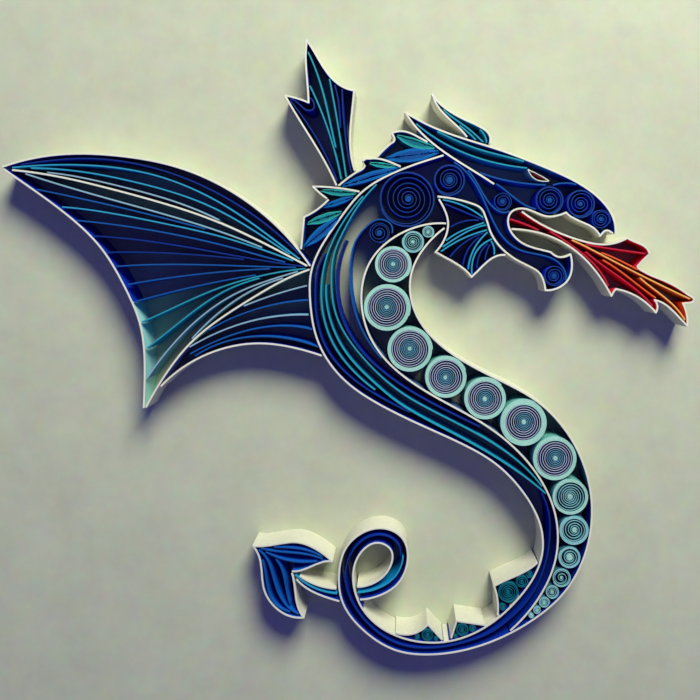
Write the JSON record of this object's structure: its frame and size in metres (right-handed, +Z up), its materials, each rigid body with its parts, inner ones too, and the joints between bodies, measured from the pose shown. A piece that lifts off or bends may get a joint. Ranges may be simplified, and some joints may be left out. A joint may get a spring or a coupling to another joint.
{
  "type": "quilled paper art",
  "caption": "Quilled dragon in the shape of a letter S, made of coloured paper strips on edge: ribbed wing and fin, coiled belly, frilled head, curled tail and a flame.",
  "frame": {"origin": "middle of the footprint's bounding box, on the surface that the strips stand on", "axes": "+X towards the flame's tip, +Y towards the top of the letter, +Z up along the strips' width"},
  "size_m": [0.184, 0.1634, 0.01],
  "materials": {
    "blue_paper": "matte",
    "cyan_paper": "matte",
    "gold_paper": "matte",
    "mint_paper": "matte",
    "navy_paper": "matte",
    "orange_paper": "matte",
    "pale_blue_paper": "matte",
    "red_paper": "matte",
    "slate_paper": "matte",
    "teal_paper": "matte",
    "white_paper": "matte"
  },
  "bodies": {
    "root": {"arrow_edge": "white_paper", "arrow_strips": "blue_paper", "back_edge": "white_paper", "belly_coil_01": "mint_paper", "belly_coil_02": "mint_paper", "belly_coil_03": "mint_paper", "belly_coil_04": "mint_paper", "belly_coil_05": "mint_paper", "belly_coil_06": "mint_paper", "belly_coil_07": "mint_paper", "belly_coil_08": "mint_paper", "belly_coil_09": "mint_paper", "belly_coil_10": "mint_paper", "belly_coils_small": "mint_paper", "belly_edge": "white_paper", "body_navy_strips": "navy_paper", "body_teal_strips": "teal_paper", "eye_strips": "white_paper", "fin_edge": "white_paper", "fin_navy_ribs": "navy_paper", "fin_teal_ribs": "teal_paper", "flame_edge": "white_paper", "flame_gold_strips": "gold_paper", "flame_orange_strips": "orange_paper", "flame_red_strips": "red_paper", "frill_edge": "white_paper", "frill_navy_ribs": "navy_paper", "frill_teal_ribs": "teal_paper", "head_blue_strips": "blue_paper", "head_teal_strips": "teal_paper", "jaw_coils": "slate_paper", "jaw_strips": "navy_paper", "middle_edge": "white_paper", "mouth_edge": "white_paper", "neck_coil_large": "slate_paper", "neck_coils_small": "slate_paper", "panel_blue_ribs": "blue_paper", "panel_pale_ribs": "pale_blue_paper", "rear_horn_edge": "white_paper", "scroll_strip": "slate_paper", "skull_edge": "white_paper", "snout_coils": "slate_paper", "spine_blue_leaves": "blue_paper", "spine_edges": "white_paper", "spine_teal_leaves": "teal_paper", "tail_navy_strip": "navy_paper", "tail_spike_coils": "teal_paper", "tail_spike_edges": "white_paper", "tail_strand_edges": "white_paper", "tail_teal_strips": "teal_paper", "wing_blue_ribs": "blue_paper", "wing_cyan_ribs": "cyan_paper", "wing_front_edge": "white_paper", "wing_lower_edge": "white_paper", "wing_membrane_edge": "white_paper", "wing_navy_ribs": "navy_paper", "wing_pale_ribs": "pale_blue_paper", "wing_rear_edge": "white_paper", "wing_spar": "white_paper", "wing_teal_ribs": "teal_paper"}
  },
  "joints": []
}
